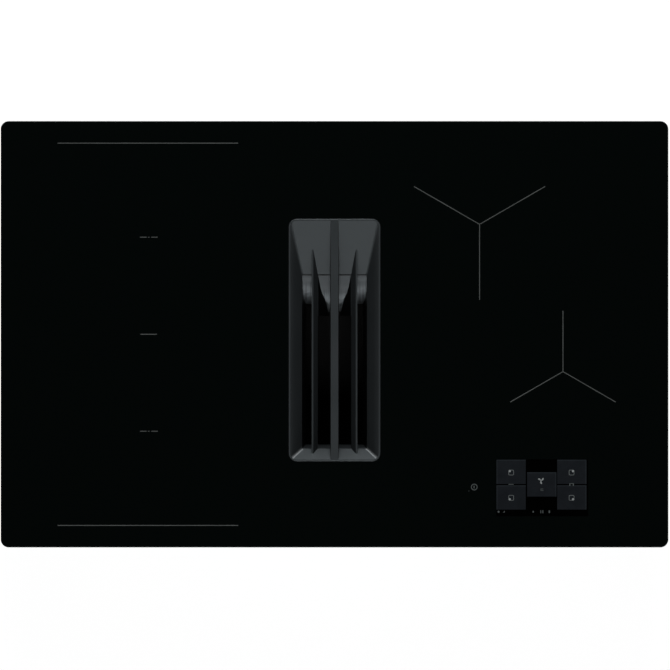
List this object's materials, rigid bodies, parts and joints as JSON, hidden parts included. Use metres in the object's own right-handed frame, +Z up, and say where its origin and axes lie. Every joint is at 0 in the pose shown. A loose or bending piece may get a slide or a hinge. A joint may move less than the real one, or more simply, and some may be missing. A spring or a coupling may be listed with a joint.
{
  "type": "downdraft induction cooktop",
  "caption": "Built-in glass induction hob with a downdraft extractor well, lift-out grille and filter, radial fan housing and flat-duct spigot below.",
  "frame": {"origin": "centre of the glass plate on the worktop plane, the underside of the rim seal", "axes": "+X to the user's right, +Y to the back edge, +Z up"},
  "size_m": [0.83, 0.53, 0.212],
  "materials": {
    "ceramic_glass": "polished black glass-ceramic, opaque",
    "seal_foam": "closed-cell foam strip",
    "silicone": "cured silicone bead",
    "galvanised_steel": "hot-dip galvanised sheet",
    "spring_steel": "rolled spring strip",
    "zinc_screw": "zinc-plated steel",
    "coated_casting": "cast aluminium with a dark matt coat",
    "moulded_black": "glass-filled polyamide, fine texture",
    "moulded_grey": "polypropylene, fine texture",
    "filter_steel": "stainless mesh and frame",
    "rubber_black": "moulded EPDM",
    "fan_plastic": "moulded polyamide",
    "copper_litz": "enamelled litz wire",
    "ferrite": "sintered ferrite",
    "fibre_mat": "pressed ceramic fibre",
    "aluminium_sheet": "rolled sheet and extrusion",
    "board_green": "glass-epoxy board with solder mask",
    "motor_steel": "stamped and turned steel"
  },
  "bodies": {
    "hob": {"glass_top": "ceramic_glass", "rim_seal": "seal_foam", "glass_bonding": "silicone", "tray_frame": "galvanised_steel", "tray_floor": "galvanised_steel", "worktop_clips": "spring_steel", "housing_screws": "zinc_screw", "well_collar": "moulded_black", "duct_seal": "rubber_black", "suction_duct": "moulded_black", "plenum_box": "moulded_grey", "volute_base": "moulded_grey", "volute_cover": "moulded_grey", "inlet_ring": "moulded_grey", "outlet_spigot": "moulded_black", "motor_stator": "motor_steel", "motor_bearings": "motor_steel", "motor_mount": "aluminium_sheet", "motor_board": "board_green", "lower_housing": "galvanised_steel", "base_plate": "galvanised_steel", "ferrite_bars": "ferrite", "insulation_mats": "fibre_mat", "temperature_sensors": "moulded_grey", "spring_posts": "moulded_grey", "coil_springs": "spring_steel", "board_supports": "moulded_grey", "board_parts": "moulded_black", "touch_board": "board_green", "touch_carrier": "moulded_black", "ribbon_cable": "moulded_grey", "terminal_box": "moulded_black", "terminal_cover": "moulded_black", "terminal_block": "moulded_grey", "cable_gland": "moulded_black", "mains_filter_board": "board_green", "heatsinks": "aluminium_sheet", "coil_left_rear": "copper_litz", "coil_left_front": "copper_litz", "coil_right_rear": "copper_litz", "coil_right_front": "copper_litz", "coil_carriers_left": "moulded_black", "coil_plate_left": "aluminium_sheet", "inverter_board_left": "board_green", "cooling_frame_left": "moulded_black", "coil_carriers_right": "moulded_black", "coil_plate_right": "aluminium_sheet", "inverter_board_right": "board_green", "cooling_frame_right": "moulded_black"},
    "spill_tray": {"spill_tray": "moulded_black"},
    "filter_unit": {"filter_casing": "moulded_black", "filter_frame": "filter_steel", "filter_mesh": "filter_steel"},
    "grille": {"grille": "coated_casting", "grille_pads": "rubber_black"},
    "extractor_fan": {"fan_impeller": "fan_plastic", "fan_shaft": "motor_steel", "motor_rotor": "motor_steel"},
    "cooling_fan_left": {"cooling_rotor_left": "fan_plastic"},
    "cooling_fan_right": {"cooling_rotor_right": "fan_plastic"}
  },
  "joints": [
    {"name": "spill_tray_lift", "type": "slide", "parent": "hob", "child": "spill_tray", "axis": [0, 0, 1], "range_m": [0, 0.22]},
    {"name": "filter_unit_lift", "type": "slide", "parent": "spill_tray", "child": "filter_unit", "axis": [0, 0, 1], "range_m": [0, 0.16]},
    {"name": "grille_lift", "type": "slide", "parent": "filter_unit", "child": "grille", "axis": [0, 0, 1], "range_m": [0, 0.06]},
    {"name": "extractor_fan_spin", "type": "hinge", "parent": "hob", "child": "extractor_fan", "pos_m": [0.178, -0.01, -0.201], "axis": [0, 0, 1], "continuous": true},
    {"name": "cooling_fan_left_spin", "type": "hinge", "parent": "hob", "child": "cooling_fan_left", "pos_m": [-0.336, -0.04, -0.055], "axis": [0, 0, 1], "continuous": true},
    {"name": "cooling_fan_right_spin", "type": "hinge", "parent": "hob", "child": "cooling_fan_right", "pos_m": [0.336, 0.06, -0.055], "axis": [0, 0, 1], "continuous": true}
  ]
}
